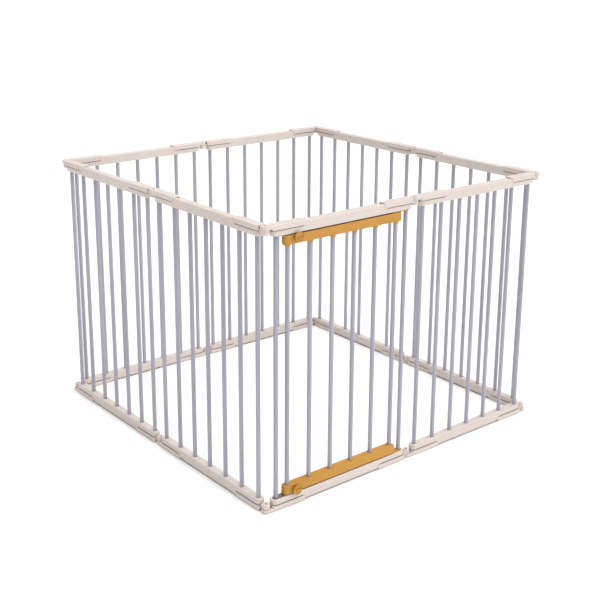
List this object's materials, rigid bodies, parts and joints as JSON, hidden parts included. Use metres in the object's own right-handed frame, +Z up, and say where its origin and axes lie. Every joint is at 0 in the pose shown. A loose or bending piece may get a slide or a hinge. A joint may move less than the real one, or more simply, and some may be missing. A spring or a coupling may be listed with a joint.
{
  "type": "pet playpen",
  "caption": "Square folding pen for pets: hinged panels of steel tubes between plastic rails, with a contrasting door leaf that has a rotary latch at top and bottom.",
  "frame": {"origin": "on the floor under the middle of the pen's overall box", "axes": "+Z up, the side with the door faces -Y, the door leaf's pivot post is towards +X"},
  "size_m": [0.8222, 0.8314, 0.6068],
  "materials": {
    "cream_plastic": "satin moulded",
    "coated_tube": "lavender grey powder coat",
    "yellow_plastic": "satin moulded",
    "pin_steel": "plain",
    "plate_steel": "plain"
  },
  "bodies": {
    "front_left_panel": {"front_left_top_rail": "cream_plastic", "front_left_bottom_rail": "cream_plastic", "front_left_lug_caps": "cream_plastic", "front_left_barrel_caps": "cream_plastic", "front_left_hinge_pins": "pin_steel", "latch_post": "coated_tube", "pivot_post": "coated_tube", "keeper_plates": "plate_steel"},
    "front_right_panel": {"front_right_top_rail": "cream_plastic", "front_right_bottom_rail": "cream_plastic", "front_right_lug_caps": "cream_plastic", "front_right_barrel_caps": "cream_plastic", "front_right_hinge_pins": "pin_steel", "front_right_tubes": "coated_tube"},
    "right_front_panel": {"right_front_top_rail": "cream_plastic", "right_front_bottom_rail": "cream_plastic", "right_front_lug_caps": "cream_plastic", "right_front_barrel_caps": "cream_plastic", "right_front_hinge_pins": "pin_steel", "right_front_tubes": "coated_tube"},
    "right_back_panel": {"right_back_top_rail": "cream_plastic", "right_back_bottom_rail": "cream_plastic", "right_back_lug_caps": "cream_plastic", "right_back_barrel_caps": "cream_plastic", "right_back_hinge_pins": "pin_steel", "right_back_tubes": "coated_tube"},
    "back_right_panel": {"back_right_top_rail": "cream_plastic", "back_right_bottom_rail": "cream_plastic", "back_right_lug_caps": "cream_plastic", "back_right_barrel_caps": "cream_plastic", "back_right_hinge_pins": "pin_steel", "back_right_tubes": "coated_tube"},
    "back_left_panel": {"back_left_top_rail": "cream_plastic", "back_left_bottom_rail": "cream_plastic", "back_left_lug_caps": "cream_plastic", "back_left_barrel_caps": "cream_plastic", "back_left_hinge_pins": "pin_steel", "back_left_tubes": "coated_tube"},
    "left_back_panel": {"left_back_top_rail": "cream_plastic", "left_back_bottom_rail": "cream_plastic", "left_back_lug_caps": "cream_plastic", "left_back_barrel_caps": "cream_plastic", "left_back_hinge_pins": "pin_steel", "left_back_tubes": "coated_tube"},
    "left_front_panel": {"left_front_top_rail": "cream_plastic", "left_front_bottom_rail": "cream_plastic", "left_front_lug_caps": "cream_plastic", "left_front_barrel_caps": "cream_plastic", "left_front_hinge_pins": "pin_steel", "left_front_tubes": "coated_tube"},
    "door_leaf": {"leaf_top_rail": "yellow_plastic", "leaf_bottom_rail": "yellow_plastic", "leaf_tubes": "coated_tube", "leaf_collars": "yellow_plastic", "pivot_plates": "yellow_plastic", "pivot_plate_screws": "pin_steel"},
    "top_latch_knob": {"top_knob": "yellow_plastic"},
    "bottom_latch_knob": {"bottom_knob": "yellow_plastic"},
    "top_latch_bolt": {"top_bolt": "pin_steel"},
    "bottom_latch_bolt": {"bottom_bolt": "pin_steel"}
  },
  "joints": [
    {"name": "fold", "type": "hinge", "parent": "front_left_panel", "child": "left_front_panel", "pos_m": [-0.4, -0.39545, 0.3034], "axis": [0, 0, 1], "range_deg": [0, 90]},
    {"name": "left_middle_hinge", "type": "hinge", "parent": "left_front_panel", "child": "left_back_panel", "pos_m": [-0.4, 0.00455, 0.3034], "axis": [0, 0, 1], "range_deg": [-90, 0]},
    {"name": "back_left_corner_hinge", "type": "hinge", "parent": "left_back_panel", "child": "back_left_panel", "pos_m": [-0.4, 0.40455, 0.3034], "axis": [0, 0, 1], "range_deg": [0, 90]},
    {"name": "back_middle_hinge", "type": "hinge", "parent": "back_left_panel", "child": "back_right_panel", "pos_m": [0, 0.40455, 0.3034], "axis": [0, 0, 1], "range_deg": [-90, 0]},
    {"name": "front_middle_hinge", "type": "hinge", "parent": "front_left_panel", "child": "front_right_panel", "pos_m": [0, -0.39545, 0.3034], "axis": [0, 0, 1], "range_deg": [0, 90]},
    {"name": "front_right_corner_hinge", "type": "hinge", "parent": "front_right_panel", "child": "right_front_panel", "pos_m": [0.4, -0.39545, 0.3034], "axis": [0, 0, 1], "range_deg": [-90, 0]},
    {"name": "right_middle_hinge", "type": "hinge", "parent": "right_front_panel", "child": "right_back_panel", "pos_m": [0.4, 0.00455, 0.3034], "axis": [0, 0, 1], "range_deg": [0, 90]},
    {"name": "door_swing", "type": "hinge", "parent": "front_left_panel", "child": "door_leaf", "pos_m": [-0.0253, -0.39545, 0.3034], "axis": [0, 0, 1], "range_deg": [0, 150]},
    {"name": "top_latch_turn", "type": "hinge", "parent": "door_leaf", "child": "top_latch_knob", "pos_m": [-0.327, -0.40745, 0.5739], "axis": [0, -1, 0], "range_deg": [0, 90]},
    {"name": "bottom_latch_turn", "type": "hinge", "parent": "door_leaf", "child": "bottom_latch_knob", "pos_m": [-0.327, -0.40745, 0.0329], "axis": [0, -1, 0], "range_deg": [0, 90]},
    {"name": "top_bolt_throw", "type": "slide", "parent": "door_leaf", "child": "top_latch_bolt", "axis": [0, 0, 1], "range_m": [0, 0.008]},
    {"name": "bottom_bolt_throw", "type": "slide", "parent": "door_leaf", "child": "bottom_latch_bolt", "axis": [0, 0, -1], "range_m": [0, 0.008]}
  ],
  "couplings": [
    {"joint": "left_middle_hinge", "follows": "fold", "ratio": -1},
    {"joint": "back_left_corner_hinge", "follows": "fold", "ratio": 1},
    {"joint": "back_middle_hinge", "follows": "fold", "ratio": -1},
    {"joint": "front_middle_hinge", "follows": "fold", "ratio": 1},
    {"joint": "front_right_corner_hinge", "follows": "fold", "ratio": -1},
    {"joint": "right_middle_hinge", "follows": "fold", "ratio": 1},
    {"joint": "top_latch_turn", "follows": "top_bolt_throw", "rad_per_m": 196.3},
    {"joint": "bottom_latch_turn", "follows": "bottom_bolt_throw", "rad_per_m": 196.3}
  ]
}
